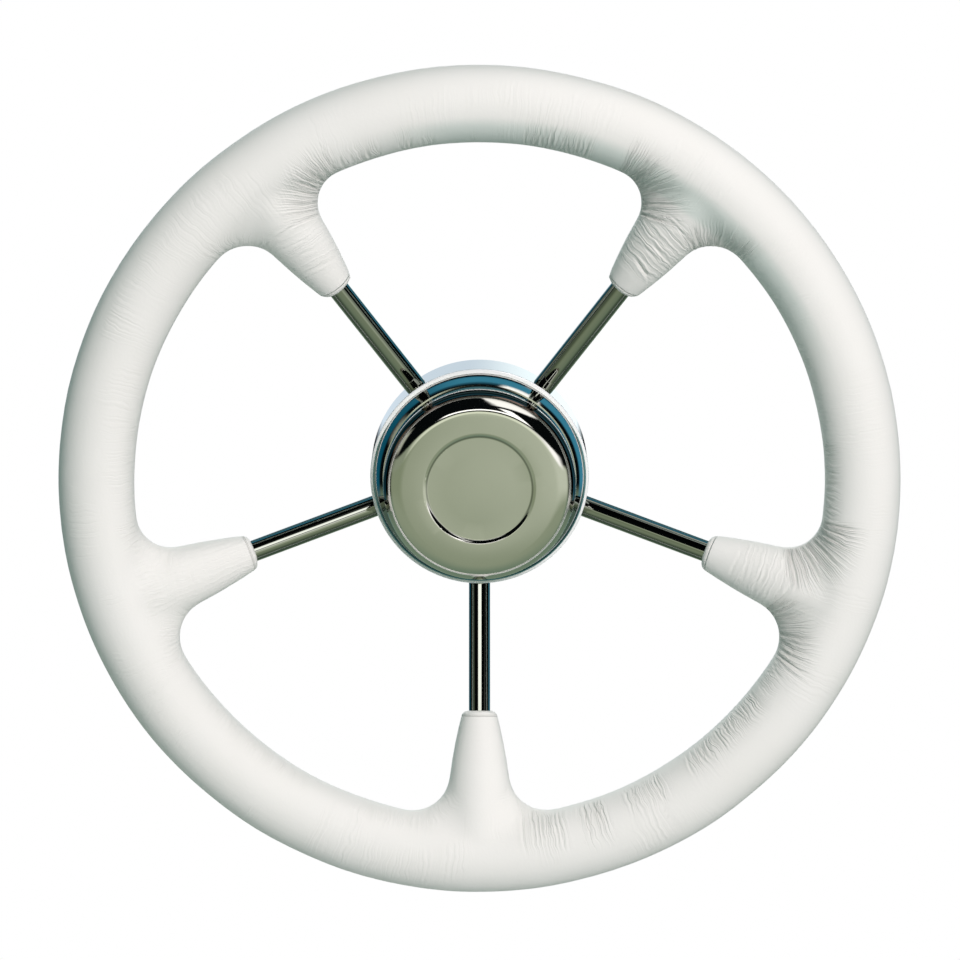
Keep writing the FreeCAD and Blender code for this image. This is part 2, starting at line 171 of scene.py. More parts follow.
def merged(operation, wires):
    # several sockets taken together, one after another
    result = wires[0]
    for wire in wires[1:]:
        result = result.maths(operation, wire)
    return result


def lengthOf(first, second):
    return (first * first + second * second).maths("SQRT")


def colour(red, green, blue):
    return (red, green, blue, 1.0)


def seenColour(red, green, blue):
    # a colour as a screen shows it, from 0 to 255, made linear
    def linear(value):
        share = value / 255
        return share / 12.92 if share <= 0.04045 else ((share + 0.055) / 1.055) ** 2.4
    return colour(linear(red), linear(green), linear(blue))


black = colour(0, 0, 0)
white = colour(1, 1, 1)


# camera: level with the photograph's, a little above the wheel and looking down on it

view = {
    "elevation": math.radians(11.43),
    "distance": 1.6,           # from the aim, which is the rim's middle moved a little aside and up
    "aimAside": 0.0002,
    "aimAbove": 0.0027,
    "focalPixels": 3848.0,     # the lens's focal length in pixels of the frame
    "framePixels": 960.0,
    "sensor": 36.0,
    "farthest": 50.0,
}


def addCamera():
    lens = bpy.data.cameras.new("camera")
    lens.sensor_width = view["sensor"]
    lens.lens = view["focalPixels"] / view["framePixels"] * view["sensor"]
    lens.clip_end = view["farthest"]
    camera = bpy.data.objects.new("camera", lens)
    scene.collection.objects.link(camera)
    back = Vector((0, -math.cos(view["elevation"]), math.sin(view["elevation"])))
    upward = Vector((0, math.sin(view["elevation"]), math.cos(view["elevation"])))
    aim = rimCentre + Vector((view["aimAside"], 0, 0)) + upward * view["aimAbove"]
    camera.location = aim + back * view["distance"]
    camera.rotation_euler = back.to_track_quat("Z", "Y").to_euler()
    scene.camera = camera
    print("camera placed")


# studio: white to the camera, and for the polished steel a dark room with a grey front, soft boxes and a blue
# backdrop; the lamps alone light the soft cover

studio = {
    "mirrorGain": 1.55,                  # how bright the room is in the polished steel
    "ambient": colour(0.195, 0.265, 0.245),
    "ringLean": math.radians(11.4),      # how far the backdrop's rings lean back from the wheel's axis
    "dark": seenColour(5, 7, 8),
    "floor": seenColour(102, 119, 101),
    "lowFront": seenColour(132, 141, 119),
    "leftFront": seenColour(124, 133, 109),
    "rightFront": seenColour(184, 189, 171),
    "leftBand": seenColour(128, 136, 116),
    "frontBand": seenColour(214, 219, 196),
    "leftBox": seenColour(160, 162, 148),
    "rightBox": colour(1.0, 0.98, 0.95),
    "strip": colour(1.5, 1.47, 1.42),
    "innerBackdrop": seenColour(72, 112, 120),
    "leftBackdrop": seenColour(10, 72, 92),
    "rightBackdrop": seenColour(54, 121, 146),
    "leftGlow": seenColour(182, 195, 206),
    "rightGlow": seenColour(220, 232, 236),
}

# shades that change across the room: the left one, the right one and where the change starts and ends, as
# shares of the way from the middle to the far right
twoTone = {
    "front": ("leftFront", "rightFront", -0.5, 0.5),
    "backdrop": ("leftBackdrop", "rightBackdrop", -0.9, -0.1),
    "glow": ("leftGlow", "rightGlow", -0.05, 0.18),
}

# what the steel sees, each patch over those before it: its shade and its edges in degrees. lift is up from
# level, turn is to the right from straight behind the wheel, width is the same to either side, and ring is
# from the rings' axis. An edge says where the patch starts and is full, and then where it fades and ends
patches = [
    ("floor", [("lift", -13, -21)]),
    ("lowFront", [("width", 96, 116), ("lift", -80, -22, -2, 3)]),
    ("front", [("width", 96, 116), ("lift", -22, -10, 0, 4)]),
    ("leftBand", [("lift", -3, 1, 6, 10), ("turn", -70, -120)]),
    ("frontBand", [("lift", -3, 1, 5, 9), ("width", 146, 172)]),
    ("leftBox", [("lift", 8, 16, 26, 34), ("turn", -118, -106, -76, -64)]),
    ("rightBox", [("lift", -2, 2, 6, 10), ("turn", 112, 140, 150, 172)]),
    ("strip", [("lift", 13, 15, 18.5, 20.5), ("width", 163, 167)]),
    ("strip", [("lift", 11, 15, 32, 36), ("turn", 157, 160, 165.5, 168.5)]),
    ("rightBox", [("lift", 41, 46), ("turn", 40, 52, 160, 172)]),
    ("innerBackdrop", [("ring", 27, 31, 41, 45), ("lift", -24, -12)]),
    ("backdrop", [("ring", 49, 53, 61, 65), ("lift", -24, -12)]),
    ("glow", [("lift", -10, -7, 15.5, 18.5), ("width", 28, 22)]),
]


def roomAxes(shop):
    across, behind, up = shop.parts(shop.coordinate("Generated"))
    lean = studio["ringLean"]
    toDegrees = 180 / math.pi
    turn = across.maths("ARCTAN2", behind) * toDegrees
    ring = (behind * math.cos(lean) + up * math.sin(lean)).maths("ARCCOSINE") * toDegrees
    return {"across": across, "lift": up.maths("ARCSINE") * toDegrees, "turn": turn, "width": abs(turn),
            "ring": ring}


def patchShade(shop, axes, name):
    if name not in twoTone:
        return studio[name]
    left, right, start, end = twoTone[name]
    return shop.mixedColour(axes["across"].eased(start, end), studio[left], studio[right])


def patchShare(axes, edges):
    steps = []
    for axis, start, full, *ending in edges:
        steps.append(axes[axis].eased(start, full))
        if ending:
            fading, end = ending
            steps.append(axes[axis].eased(end, fading))
    return merged("MULTIPLY", steps)


def addWorld():
    world = bpy.data.worlds.new("studio")
    scene.world = world
    shop = Shop(world)
    axes = roomAxes(shop)
    shade = studio["dark"]
    for name, edges in patches:
        shade = shop.mixedColour(patchShare(axes, edges), shade, patchShade(shop, axes, name))
    path = shop.node("ShaderNodeLightPath", {}, {})
    soft = shop.node("ShaderNodeBackground", {}, {0: studio["ambient"], 1: 1.0}).out(0)
    mirror = shop.node("ShaderNodeBackground", {}, {0: shade, 1: studio["mirrorGain"]}).out(0)
    plain = shop.node("ShaderNodeBackground", {}, {0: white, 1: 1.0}).out(0)
    seen = shop.mixedShader(path.out("Is Glossy Ray"), soft, mirror)
    seen = shop.mixedShader(path.out("Is Camera Ray"), seen, plain)
    shop.node("ShaderNodeOutputWorld", {}, {0: seen})
    print("studio world made")


lamps = {
    "keyLamp": {"place": Vector((1.5, -3.4, 1.9)), "size": 1.6, "power": 152.0, "shade": colour(1.0, 0.9, 0.915)},
    "backLamp": {"place": Vector((-0.5, 1.7, 0.6)), "size": 1.0, "power": 26.0, "shade": white},
}


def addLamp(name):
    # a round soft lamp turned towards the wheel, which the steel doesn't mirror
    values = lamps[name]
    lamp = bpy.data.lights.new(name, "AREA")
    lamp.shape = "DISK"
    lamp.size = values["size"]
    lamp.energy = values["power"]
    lamp.color = values["shade"][:3]
    holder = bpy.data.objects.new(name, lamp)
    holder.location = values["place"]
    holder.rotation_euler = (values["place"] - rimCentre).to_track_quat("Z", "Y").to_euler()
    holder.visible_glossy = False
    scene.collection.objects.link(holder)
    print("lamp placed:", name)


floor = {
    "height": -0.95,
    "radius": 0.95,
    "sides": 96,
    "shade": colour(0.75, 0.75, 0.75),
    "cameraGlow": 0.55,      # added where the camera sees it, so that it is white there
}


def paleFloor():
    shop = Shop(bpy.data.materials.new("paleFloor"))
    path = shop.node("ShaderNodeLightPath", {}, {})
    matt = shop.node("ShaderNodeBsdfDiffuse", {}, {0: floor["shade"]}).out(0)
    glow = shop.node("ShaderNodeEmission", {}, {0: white, 1: floor["cameraGlow"]}).out(0)
    none = shop.node("ShaderNodeEmission", {}, {0: black, 1: 0.0}).out(0)
    extra = shop.mixedShader(path.out("Is Camera Ray"), none, glow)
    both = shop.node("ShaderNodeAddShader", {}, [matt, extra]).out(0)
    shop.node("ShaderNodeOutputMaterial", {}, {0: both})
    return shop.owner


def addFloor():
    bpy.ops.mesh.primitive_circle_add(vertices=floor["sides"], radius=floor["radius"], fill_type="NGON",
                                      location=(0, 0, floor["height"]))
    piece = bpy.context.object
    piece.name = "studioFloor"
    piece.data.materials.append(paleFloor())
    piece.visible_glossy = False
    print("floor laid")


# finishes; places on a piece are in millimetres, and each pair says where a step starts and where it is full

def startMaterial(name):
    return Shop(bpy.data.materials.new(name))


def finishMaterial(shop, inputs):
    shader = shop.node("ShaderNodeBsdfPrincipled", {}, inputs)
    shop.node("ShaderNodeOutputMaterial", {}, {0: shader.out(0)})
    print("material:", shop.owner.name)
    return shop.owner


polish = {
    "roughness": 0.055,
    "smearRoughness": 0.03,
    "smearScale": 60.0,
    "smearDetail": 3.0,
    "dimTone": colour(0.62, 0.62, 0.595),
    "brightTone": colour(0.66, 0.66, 0.635),
}


def polishSmear(shop, place):
    return shop.noise(place, polish["smearScale"], polish["smearDetail"])


def polishTone(shop, smear):
    return shop.mixedColour(smear, polish["dimTone"], polish["brightTone"])


def polishRoughness(smear):
    return polish["roughness"] + polish["smearRoughness"] * (smear - 0.5)


# the lip's pale, less metallic tone is a painted highlight, and the blue tone inside it is a painted reflection of
# the backdrop
drumFinish = {
    "lip": (44.6, 45.0),           # from the axis
    "lipTop": (12, 36),            # up: over these heights the lip's painted highlight comes in to a smaller radius
    "lipTopInset": 1.0,
    "lipFront": (-29.2, -29.5),    # behind
    "paintedReflection": (43.6, 44.0),          # from the axis
    "back": (-3.4, -2.4),          # behind
    "lipRoughness": 0.1,
    "backRoughness": 0.33,
    "lipHighlightMatt": 0.85,
    "lipHighlightTone": colour(0.95, 0.97, 0.99),
    "paintedReflectionTone": colour(0.1, 0.26, 0.36),
}


def polishedDrum():
    # the drum's steel; its lip is less metallic and rougher, with a painted white highlight, and inside that a
    # painted reflection of the blue backdrop; its back is brushed
    shop = startMaterial("polishedDrum")
    place = shop.coordinate("Object")
    across, behind, up = shop.millimetres(place)
    fromAxis = lengthOf(across, up)
    smear = polishSmear(shop, place)
    highlightRing = (fromAxis + drumFinish["lipTopInset"] * up.eased(*drumFinish["lipTop"])).eased(*drumFinish["lip"])
    onLipHighlight = highlightRing * behind.eased(*drumFinish["lipFront"])
    inside = fromAxis.eased(*drumFinish["paintedReflection"]) * (1 - highlightRing)
    onBack = behind.eased(*drumFinish["back"])
    rough = polishRoughness(smear) + drumFinish["lipRoughness"] * onLipHighlight + drumFinish["backRoughness"] * onBack
    tone = shop.mixedColour(onLipHighlight, polishTone(shop, smear), drumFinish["lipHighlightTone"])
    # painted reflection of the blue backdrop on the ring inside the lip
    tone = shop.mixedColour(inside, tone, drumFinish["paintedReflectionTone"])
    metal = 1 - drumFinish["lipHighlightMatt"] * onLipHighlight
    return finishMaterial(shop, {"Base Color": tone, "Metallic": metal, "Roughness": rough})


capFinish = {
    "paintedReflection": (47.0, 48.5),          # forward
    "paintedReflectionEnd": (53.2, 51.6),
    "paintedReflectionUp": (-20, 5),
    "paintedReflectionTone": colour(0.14, 0.10, 0.085),
    "front": (50, 51),             # forward
    "grooveRadius": 22.0,
    "groove": (0.5, 0.2),          # to either side of that radius
    "grooveShadeShare": 0.6,
    "grooveShadeTone": colour(0.15, 0.16, 0.15),
}


def polishedCap():
    # the cap's steel, with a painted dark reflection where its upper edge turns down to the ring, and painted
    # shade in the groove round its recess
    shop = startMaterial("polishedCap")
    place = shop.coordinate("Object")
    across, behind, up = shop.millimetres(place)
    forward = -1 * behind
    smear = polishSmear(shop, place)
    inDarkReflection = forward.eased(*capFinish["paintedReflection"]) * forward.eased(*capFinish["paintedReflectionEnd"])
    inDarkReflection = inDarkReflection * up.eased(*capFinish["paintedReflectionUp"])
    groove = abs(lengthOf(across, up) - capFinish["grooveRadius"]).eased(*capFinish["groove"])
    groove = groove * forward.eased(*capFinish["front"])
    # painted dark reflection on the cap's upper edge
    tone = shop.mixedColour(inDarkReflection, polishTone(shop, smear), capFinish["paintedReflectionTone"])
    # painted shade in the groove round the recess
    tone = shop.mixedColour(capFinish["grooveShadeShare"] * groove, tone, capFinish["grooveShadeTone"])
    return finishMaterial(shop, {"Base Color": tone, "Metallic": 1.0, "Roughness": polishRoughness(smear)})


ringFinish = {
    "lowerHalf": (-4, -16),        # up
    "lowerShadeTone": colour(0.2, 0.24, 0.25),
}


def polishedRing():
    # the front ring's steel, with painted shade darkening its lower half
    shop = startMaterial("polishedRing")
    place = shop.coordinate("Object")
    up = shop.millimetres(place)[2]
    smear = polishSmear(shop, place)
    tone = shop.mixedColour(up.eased(*ringFinish["lowerHalf"]), polishTone(shop, smear), ringFinish["lowerShadeTone"])
    return finishMaterial(shop, {"Base Color": tone, "Metallic": 1.0, "Roughness": polishRoughness(smear)})


rodFinish = {
    "flank": (1.0, 2.1),           # aside from the nearest spoke's line
    "edge": (3.7, 4.1),
    "notAhead": 1000,              # added on the other side of the axis, so that no spoke's line reaches there
    "middleDarkReflection": colour(0.40, 0.42, 0.38),
    "flankDarkReflection": colour(0.17, 0.19, 0.17),
    "edgeTone": colour(0.64, 0.64, 0.615),
}


def asideFromSpoke(across, up, turn):
    ahead = across * math.cos(turn) + up * math.sin(turn)
    aside = abs(up * math.cos(turn) - across * math.sin(turn))
    return aside + rodFinish["notAhead"] * ahead.maths("LESS_THAN", 0.0)


def polishedRods():
    # the spokes' steel, with a painted dark reflection along the middle and a darker one on both flanks; the edges
    # keep the steel's tone
    shop = startMaterial("polishedRods")
    place = shop.coordinate("Object")
    across, behind, up = shop.millimetres(place)
    aside = merged("MINIMUM", [asideFromSpoke(across, up, turn) for turn in wheel["spokeTurns"]])
    tone = shop.mixedColour(aside.eased(*rodFinish["flank"]), rodFinish["middleDarkReflection"], rodFinish["flankDarkReflection"])
    tone = shop.mixedColour(aside.eased(*rodFinish["edge"]), tone, rodFinish["edgeTone"])
    rough = polishRoughness(polishSmear(shop, place))
    return finishMaterial(shop, {"Base Color": tone, "Metallic": 1.0, "Roughness": rough})


turnedFinish = {
    "lineScale": 3.5,
    "lineHeight": 0.0002,
    "lineStrength": 0.25,
    "roughness": 0.24,
    "lineRoughness": 0.1,
    "dimTone": colour(0.5, 0.5, 0.49),
    "brightTone": colour(0.6, 0.6, 0.59),
}


def turnedSteel():
    # steel with fine lines round the axis, as the lathe leaves them
    shop = startMaterial("turnedSteel")
    across, behind, up = shop.millimetres(shop.coordinate("Object"))
    ring = shop.node("ShaderNodeCombineXYZ", {}, [lengthOf(across, up), behind, 0.0]).out(0)
    lines = shop.noise(ring, turnedFinish["lineScale"])
    tone = shop.mixedColour(lines, turnedFinish["dimTone"], turnedFinish["brightTone"])
    rough = turnedFinish["roughness"] + turnedFinish["lineRoughness"] * lines
    normal = shop.bump(lines, turnedFinish["lineStrength"], turnedFinish["lineHeight"])
    return finishMaterial(shop, {"Base Color": tone, "Metallic": 1.0, "Roughness": rough, "Normal": normal})


rubberFinish = {
    "speckScale": 900.0,
    "roughness": 0.5,
    "speckRoughness": 0.15,
    "dimTone": colour(0.02, 0.02, 0.02),
    "brightTone": colour(0.035, 0.035, 0.035),
}


def sealRubber():
    shop = startMaterial("sealRubber")
    speck = shop.noise(shop.coordinate("Object"), rubberFinish["speckScale"])
    tone = shop.mixedColour(speck, rubberFinish["dimTone"], rubberFinish["brightTone"])
    rough = rubberFinish["roughness"] + rubberFinish["speckRoughness"] * speck
    return finishMaterial(shop, {"Base Color": tone, "Roughness": rough})


# soft grip: the solid's own skin, remeshed, smoothed and drawn into creases where the cover puckers

grip = {
    "cavityRoom": 0.0004,        # how far past the hoop's and the spokes' surfaces the cavity's skin is looked for
    "holeStart": -0.075,         # along a spoke, from the hoop's middle
    "holeEnd": 0.002,
    "voxel": 0.0013,
    "smoothFactor": 0.5,
    "smoothing": 7,
    "regrow": 0.00009,           # what the smoothing took off
    "swell": 0.00022,
    "swellScale": 34.0,
    "crotchRadius": 0.016,
    "crotchTurn": math.radians(12.2),
    "side": (0.05, 0.45),        # how far a place faces forward or back: where that side's creases start
    "fineSide": (0.0, 0.3),      # the same for the fine folds, which are on the front only
    "seed": 11,
}

creases = {
    "width": 0.0005,
    "breadth": 6,                # a crease ends this many widths from its line
    "openReach": 0.012,          # how far a crease with an open start also runs back from there
    "fadeFrom": 0.35,            # share of its reach where it starts to fade
    "growTo": 0.4,               # and where one with a closed start is full
    "shoulder": 0.38,            # height of the bulge beside it, as a share of its depth
    "shoulderAway": 2.0,         # in widths from its line
    "shoulderSpread": 1.3,
    "creaseShadeBreadth": 4,
    "creaseShadeDepth": 0.0004,
    "backShare": 0.6,            # depth of the creases behind, as a share
    "refineFrom": 0.12,          # the mesh is made finer where it is creased more than this
    "refineBehind": 0.006,       # and not further than this behind the rim's middle
    "refineCuts": 2,
    "refineSmoothing": 4,
}

# where the cover puckers round the sleeves: the spoke's direction in degrees from +X, the side (1 is turned
# anticlockwise), how many folds, their reach past the crotch and their depth, in millimetres
crotches = [
    (54, 1, 15, 21, 0.50), (54, -1, 11, 14, 0.42),
    (126, -1, 14, 19, 0.33), (126, 1, 5, 9, 0.16),
    (342, 1, 14, 20, 0.46), (342, -1, 12, 18, 0.44),
    (198, -1, 6, 10, 0.16), (198, 1, 6, 9, 0.14),
    (270, 1, 4, 8, 0.10), (270, -1, 4, 8, 0.10),
]

# folds across the rim's inner side: clockwise turn from the top where a row starts and ends, how many, reach
# outwards from the inner edge, depth
rows = [
    (7, 18, 12, 15, 0.42), (-29, -20, 9, 9, 0.26), (-21, -16, 6, 12, 0.32), (-12.8, -10.8, 3, 13, 0.30),
    (-9.4, -7.4, 2, 9, 0.24), (-1.4, -0.6, 1, 8, 0.18), (24, 30, 6, 8, 0.20),
    (82, 99, 17, 7, 0.30), (116, 126, 9, 8, 0.20), (127, 143, 17, 10, 0.34), (148, 155, 6, 12, 0.28),
    (159, 163, 3, 19, 0.42), (166, 173, 7, 16, 0.30), (-112, -78, 14, 5, 0.13), (-150, -128, 9, 6, 0.14),
    (-172, -160, 5, 7, 0.14), (40, 60, 5, 5, 0.12), (64, 80, 7, 5, 0.14),
]

# folds across a sleeve: the spoke's direction, distance from the axis where they start and end, how many,
# slant from square across in degrees, depth
crossings = [
    (54, 110, 139, 18, -11, 0.3), (342, 112, 138, 12, -4, 0.15), (126, 110, 138, 7, -8, 0.15),
    (198, 118, 138, 4, 5, 0.07),
]

# faint crinkles across the whole front of the rim: clockwise turn from the top where they start and end, strength
stretches = [
    (-122, -40, 0.55), (-40, -2, 0.4), (-2, 40, 0.5), (40, 110, 0.35), (110, 150, 0.4), (150, 178.5, 0.75),
    (-178.5, -122, 0.6),
]

# what chance gives each fold, between two values: its place in its own share of the row, its slant in degrees,
# and its reach, depth and width as shares of those given; length and bend are in metres
crotchHabit = {
    "place": (0.2, 0.8),
    "reach": (0.5, 1.0),
    "depth": (0.5, 1.0),
    "width": (0.75, 1.3),
    "bend": (-0.0018, 0.0018),
    "firstTurn": 68,             # degrees from the spoke's own direction to the first fold
    "swing": 82,                 # degrees from the first fold to the last
    "inset": 0.001,
    "openStart": True,
}
rowHabit = {
    "place": (0.15, 0.85),
    "slant": (-14, 14),
    "reach": (0.5, 1.0),
    "depth": (0.45, 1.0),
    "width": (0.7, 1.2),
    "bend": (-0.0016, 0.0016),
    "openStart": True,
}
crossingHabit = {
    "place": (0.2, 0.8),
    "slant": (-12, 12),
    "length": (0.012, 0.024),
    "before": (0.35, 0.65),      # how much of it lies before the sleeve's middle line
    "depth": (0.5, 1.0),
    "width": (0.8, 1.4),
    "bend": (-0.003, 0.003),
    "openStart": False,
}


def plane(turnFromX, radius):
    # a place in the wheel's plane
    return np.array((math.cos(turnFromX), math.sin(turnFromX))) * radius


def squareTo(way):
    # the direction in the wheel's plane a quarter turn anticlockwise
    return np.array((-way[1], way[0]))


def crotchMiddle(spoke, side):
    away = rimRadius - wheel["tubeRadius"] - grip["crotchRadius"]
    return plane(spoke + side * grip["crotchTurn"], away)


def drawn(chance, habit, what):
    return chance.uniform(*habit[what])


def fold(chance, habit, start, way, reach, depth):
    return {"start": start, "way": way, "reach": reach, "depth": depth * drawn(chance, habit, "depth"),
            "width": creases["width"] * drawn(chance, habit, "width"), "bend": drawn(chance, habit, "bend"),
            "openStart": habit["openStart"]}


def foldsInCrotch(chance, share, direction, side, count, reach, depth):
    folds = []
    spoke = math.radians(direction)
    for index in range(count):
        spread = (index + drawn(chance, crotchHabit, "place")) / count
        way = plane(spoke - side * math.radians(crotchHabit["firstTurn"] - crotchHabit["swing"] * spread), 1.0)
        length = reach / 1000 * drawn(chance, crotchHabit, "reach")
        start = crotchMiddle(spoke, side) + way * (grip["crotchRadius"] - crotchHabit["inset"])
        folds.append(fold(chance, crotchHabit, start, way, length, depth / 1000 * share))
    return folds


def foldsInRow(chance, share, first, last, count, reach, depth):
    folds = []
    for index in range(count):
        clockwise = first + (last - first) * (index + drawn(chance, rowHabit, "place")) / count
        turn = math.radians(90 - clockwise)
        way = plane(turn + math.radians(drawn(chance, rowHabit, "slant")), 1.0)
        length = reach / 1000 * drawn(chance, rowHabit, "reach")
        start = plane(turn, rimRadius - wheel["tubeRadius"])
        folds.append(fold(chance, rowHabit, start, way, length, depth / 1000 * share))
    return folds


def foldsOnSleeve(chance, share, direction, near, far, count, slant, depth):
    folds = []
    spoke = math.radians(direction)
    for index in range(count):
        away = (near + (far - near) * (index + drawn(chance, crossingHabit, "place")) / count) / 1000
        way = plane(spoke + math.radians(90 + slant + drawn(chance, crossingHabit, "slant")), 1.0)
        length = drawn(chance, crossingHabit, "length")
        start = plane(spoke, away) - way * length * drawn(chance, crossingHabit, "before")
        folds.append(fold(chance, crossingHabit, start, way, length, depth / 1000 * share))
    return folds


def plannedFolds(chance, share):
    # every fold on one side of the wheel, with its depth cut down to a share
    folds = []
    for makeFolds, entries in ((foldsInCrotch, crotches), (foldsInRow, rows), (foldsOnSleeve, crossings)):
        for entry in entries:
            folds += makeFolds(chance, share, *entry)
    return folds


def smoothStep(values, low, high):
    share = np.clip((values - low) / (high - low), 0.0, 1.0)
    return share * share * (3 - 2 * share)


def foldDepths(places, folds):
    # how far each place sinks below the smooth cover, and how much it is creased, for one side of the wheel
    sink = np.zeros(len(places))
    creaseShade = np.zeros(len(places))
    flat = places[:, (0, 2)]
    for item in folds:
        offset = flat - item["start"]
        along = offset @ item["way"]
        reach = item["reach"]
        share = np.clip(along / reach, 0, 1)
        bow = item["bend"] * 4 * share * (1 - share)
        aside = (offset @ squareTo(item["way"]) - bow) / item["width"]
        first = -creases["openReach"] if item["openStart"] else 0
        near = (np.abs(aside) < creases["breadth"]) & (along < reach) & (along > first)
        taper = 1 - smoothStep(along[near], reach * creases["fadeFrom"], reach)
        if not item["openStart"]:
            taper = taper * smoothStep(along[near], 0, reach * creases["growTo"])
        aside = np.abs(aside[near])
        bulge = np.exp(-((aside - creases["shoulderAway"]) ** 2) / creases["shoulderSpread"])
        sink[near] += item["depth"] * taper * (np.exp(-aside ** 2) - creases["shoulder"] * bulge)
        foldShade = taper * np.exp(-(aside / creases["creaseShadeBreadth"]) ** 2) * item["depth"] / creases["creaseShadeDepth"]
        creaseShade[near] = np.maximum(creaseShade[near], foldShade)
    return sink, creaseShade


# fine folds, which the material draws: each layer of them has a coordinate and a strength on the cover's points

fineFolds = {
    "fanRate": 0.42,             # lines per degree or millimetre, in each layer
    "rowRate": 1.3,
    "crossingRate": 0.5,
    "crinkleRate": 1.9,
    "fanCount": 14,              # a crotch with this many folds has lines at the full rate
    "fullDepth": 0.5,            # folds this deep have lines of full strength
    "seedStep": 17.3,            # from one entry of a layer to the next
    "fade": (0.3, 1.05),         # shares of the reach
    "fanStart": (-5, -2),        # past the crotch's edge
    "fanAside": (38, 50),        # degrees from the fan's middle
    "rowEdge": 0.8,              # degrees to either side of a row's end
    "sleeveStart": 4,            # to either side of where the folds on a sleeve start
    "sleeveEnd": 3,
    "sleeveAside": (12, 16),
    "crinkleEdge": 1,
    "crinkleInwards": (15, 22),  # from the rim's middle line
    "crinkleOutwards": (8, 14),
}


def between(values, first, last, startSoft, endSoft):
    # 1 between two values and 0 outside them, with a soft step at each end
    start = smoothStep(values, first - startSoft, first + startSoft)
    return start * (1 - smoothStep(values, last - endSoft, last + endSoft))


def faded(values, reach):
    near, far = fineFolds["fade"]
    return 1 - smoothStep(values, reach * near, reach * far)


def fromTop(places):
    # clockwise turn from the top in degrees, and distance from the axis
    return np.degrees(np.arctan2(places[:, 0], places[:, 2])), np.hypot(places[:, 0], places[:, 2])


def fanValues(places, entry, seed):
    # lines that spread from one crotch into the cover
    direction, side, count, reach, depth = entry
    spoke = math.radians(direction)
    fanTurn = math.radians(crotchHabit["firstTurn"] - crotchHabit["swing"] / 2)
    heading = plane(spoke - side * fanTurn, 1.0)
    offset = places[:, (0, 2)] - crotchMiddle(spoke, side)
    ahead = offset @ heading
    square = offset @ squareTo(heading)
    turn = np.degrees(np.arctan2(square, ahead))
    away = (np.hypot(ahead, square) - grip["crotchRadius"]) * 1000
    mask = faded(away, reach) * smoothStep(away, *fineFolds["fanStart"])
    mask = mask * (1 - smoothStep(np.abs(turn), *fineFolds["fanAside"]))
    along = turn * fineFolds["fanRate"] * count / fineFolds["fanCount"]
    return along + seed, mask * depth / fineFolds["fullDepth"]


def rowValues(places, entry, seed):
    # lines across the rim's inner side
    first, last, count, reach, depth = entry
    turn, radius = fromTop(places)
    outwards = (radius - rimRadius + wheel["tubeRadius"]) * 1000
    mask = between(turn, first, last, fineFolds["rowEdge"], fineFolds["rowEdge"]) * faded(outwards, reach)
    return turn * fineFolds["rowRate"] + seed, mask * depth / fineFolds["fullDepth"]


def crossingValues(places, entry, seed):
    # lines across a sleeve
    direction, near, far, count, slant, depth = entry
    heading = plane(math.radians(direction), 1000.0)
    flat = places[:, (0, 2)]
    away = flat @ heading
    square = flat @ squareTo(heading)
    mask = between(away, near, far, fineFolds["sleeveStart"], fineFolds["sleeveEnd"])
    mask = mask * (1 - smoothStep(np.abs(square), *fineFolds["sleeveAside"]))
    along = (away + square * math.tan(math.radians(slant))) * fineFolds["crossingRate"]
    return along + seed, mask * depth / fineFolds["fullDepth"]


def crinkleValues(places, entry, seed):
    # waves across the rim
    first, last, strength = entry
    turn, radius = fromTop(places)
    inwards = (rimRadius - radius) * 1000
    mask = between(turn, first, last, fineFolds["crinkleEdge"], fineFolds["crinkleEdge"])
    mask = mask * (1 - smoothStep(inwards, *fineFolds["crinkleInwards"]))
    mask = mask * (1 - smoothStep(-inwards, *fineFolds["crinkleOutwards"]))
    return turn * fineFolds["crinkleRate"] + seed, mask * strength


def writeValues(piece, name, values):
    layer = piece.data.attributes.new(name, "FLOAT", "POINT")
    layer.data.foreach_set("value", values)


def foldLayer(piece, name, makeValues, entries, places, front):
    # the lines of the strongest entry at each place; where two are equally strong both fade
    along, best = makeValues(places, entries[0], 0.0)
    second = np.zeros(len(places))
    for index, entry in enumerate(entries[1:]):
        other, strength = makeValues(places, entry, index * fineFolds["seedStep"])
        second = np.maximum(second, np.minimum(best, strength))
        along = np.where(strength > best, other, along)
        best = np.maximum(best, strength)
    writeValues(piece, name + "Along", along)
    writeValues(piece, name + "Strength", (best - second) * front)


def onlyPiece(piece):
    bpy.ops.object.select_all(action="DESELECT")
    piece.select_set(True)
    bpy.context.view_layer.objects.active = piece


def copyOfNode(pieceName, nodeName):
    # a new piece with the node's own skin, its doubles merged
    piece = bpy.data.objects.new(pieceName, nodes[nodeName].data.copy())
    scene.collection.objects.link(piece)
    onlyPiece(piece)
    bpy.ops.object.mode_set(mode="EDIT")
    bpy.ops.mesh.select_all(action="SELECT")
    bpy.ops.mesh.remove_doubles(threshold=wheel["weld"])
    bpy.ops.mesh.customdata_custom_splitnormals_clear()
    bpy.ops.object.mode_set(mode="OBJECT")
    return piece


def dressPiece(piece, material):
    piece.data.materials.clear()
    piece.data.materials.append(material)


def meshArrays(piece):
    count = len(piece.data.vertices)
    places = np.empty(count * 3)
    normals = np.empty(count * 3)
    piece.data.vertices.foreach_get("co", places)
    piece.data.vertices.foreach_get("normal", normals)
    return places.reshape(-1, 3), normals.reshape(-1, 3)


def onHoop(place):
    fromAxis = math.hypot(place.x, place.z)
    fromHoop = math.hypot(fromAxis - rimRadius, place.y - rimForward)
    return fromHoop < wheel["hoopRadius"] + grip["cavityRoom"]


